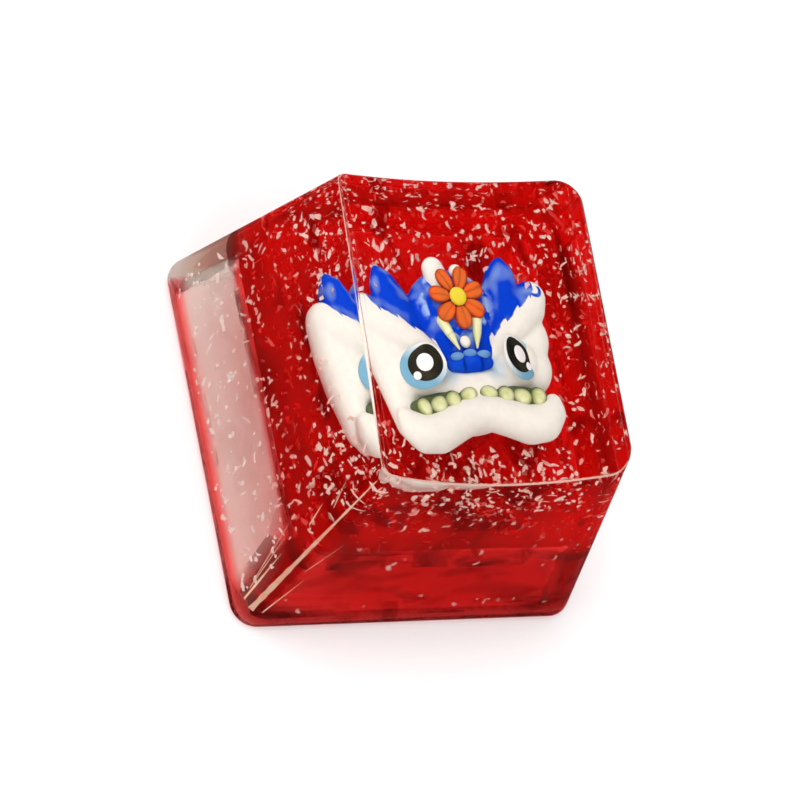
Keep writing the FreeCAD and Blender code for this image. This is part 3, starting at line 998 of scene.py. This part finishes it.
button = place_blob((0.45, 0.45, 0.27), (*FLOWER_PLACE, 1.6), shape=shape_button)
add_to_head(button, "flower_button", button_paint)
nubs = [place_limb(NUB), place_blob((0.36, 0.34, 0.3), (0.5, 3.8, 1.15))]
add_to_head(join(nubs), "nubs", cream_paint)
add_to_head(join([place_limb(scaled_across(LEAF, side)) for side in SIDES]), "leaves", leaf_paint)
bead = place_blob((0.27, 0.29, 0.25), (-0.08, 0.36, 1.4), shape=shape_drop)
add_to_head(bead, "bead", cream_paint)

# Teeth
# Eight blunt teeth in the gap between muzzle and lip, pale yellow green over a dark green gum that also
# stands in for the shade between them.
# They are moulded with the face, and painted shade darkens their sides where they meet.
TEETH = ((0.55, -2.1, 0.55, 0.46), (1.45, -2.3, 0.5, 0.52), (2.3, -2.45, 0.56, 0.5),
         (3.15, -2.55, 0.46, 0.56))
TOOTH_THICK = 0.42
TOOTH_LEVEL = 1.0
TOOTH_TURN = 0.35
GUM_AND_SHADE = ((0.2, -1.98, 0.7, 0.45), (2, -2.24, 0.65, 0.52), (3.45, -2.45, 0.6, 0.42))
# The teeth darken toward their sides with painted shade, which shows between them.
tooth_paint = shaded_paint("tooth_paint", (0.82, 0.8, 0.5, 1), (0.55, 0.57, 0.22, 1), 1400.0,
                           edge_tone=(0.1, 0.13, 0.04, 1), edge_level=0.55)
gum_and_shade_paint = brushed_paint("gum_and_shade_paint", (0.08, 0.1, 0.05, 1), (0.15, 0.17, 0.08, 1))
teeth = []
for x, y, wide, tall in TEETH:
    for side in SIDES:
        place = (side * x, y, TOOTH_LEVEL)
        teeth.append(place_blob((wide, tall, TOOTH_THICK), place, (0, 0, -TOOTH_TURN * side), shape_drop))
add_to_head(join(teeth), "teeth", tooth_paint)
# The dark gum behind the teeth also paints the shade in the gaps between them.
add_to_head(join([place_limb(scaled_across(GUM_AND_SHADE, side)) for side in SIDES]), "gums_and_shade", gum_and_shade_paint)

# Floor
# A wide sheet of matt white card that the cap stands on, with the faint unevenness of paper.
# It is only the stage and no part of the object.
bpy.ops.object.select_all(action="DESELECT")
bpy.ops.mesh.primitive_plane_add(size=3.0)
floor = bpy.context.object
floor.name = "floor"
card, add = new_material("white_floor")
paper = {"Scale": 40.0, "Low": 0.0, "High": 1.0}
paper["Tone"] = (0.95, 0.95, 0.95, 1)
paper["Other Tone"] = (0.97, 0.97, 0.97, 1)
paper_tones = add("Group", paper, node_tree=two_tones).outputs["Color"]
matt = add("BsdfPrincipled", {"Base Color": paper_tones, "Roughness": 0.9, "Specular IOR Level": 0.0})
add("OutputMaterial", {"Surface": matt.outputs[0]})
floor.data.materials.append(card)

# Light and camera
# An even white studio with a key lamp at the back left and a fill lamp in front, both large and soft.
# The camera looks down at the front left edge from the photograph's side, through a long lens.
LAMP_SIZE = 0.3
LAMPS = (("key", (-0.15, 0.12, 0.3), 0.65), ("fill", (-0.05, -0.3, 0.3), 0.35))
CAMERA_PLACE = Vector((-94.23, -59.79, 152.59)) * MM
CAMERA_RIGHT = Vector((0.8627, -0.1951, 0.4665))
CAMERA_UP = Vector((0.0047, 0.9256, 0.3784))
world = bpy.data.worlds.new("studio")
bpy.context.scene.world = world
world.use_nodes = True
background = world.node_tree.nodes["Background"]
background.inputs["Color"].default_value = (1, 1, 1, 1)
background.inputs["Strength"].default_value = 0.8
for name, place, power in LAMPS:
    lamp = bpy.data.lights.new(name, "AREA")
    lamp.size = LAMP_SIZE
    lamp.energy = power
    stand = bpy.data.objects.new(name, lamp)
    stand.location = place
    stand.rotation_euler = Vector(place).to_track_quat("Z", "Y").to_euler()
    bpy.context.collection.objects.link(stand)

long_lens = bpy.data.cameras.new("camera")
long_lens.sensor_width = 36
long_lens.lens = 182.09
long_lens.clip_start = 0.01
camera = bpy.data.objects.new("camera", long_lens)
camera_axes = Matrix((CAMERA_RIGHT, CAMERA_UP, CAMERA_RIGHT.cross(CAMERA_UP))).transposed()
camera.matrix_world = Matrix.Translation(CAMERA_PLACE) @ camera_axes.to_4x4()
bpy.context.collection.objects.link(camera)
bpy.context.scene.camera = camera
bpy.context.scene.view_settings.view_transform = "Standard"

light_paths = bpy.context.scene.cycles
light_paths.max_bounces = 24
light_paths.transmission_bounces = 24
light_paths.transparent_max_bounces = 64
light_paths.volume_bounces = 8
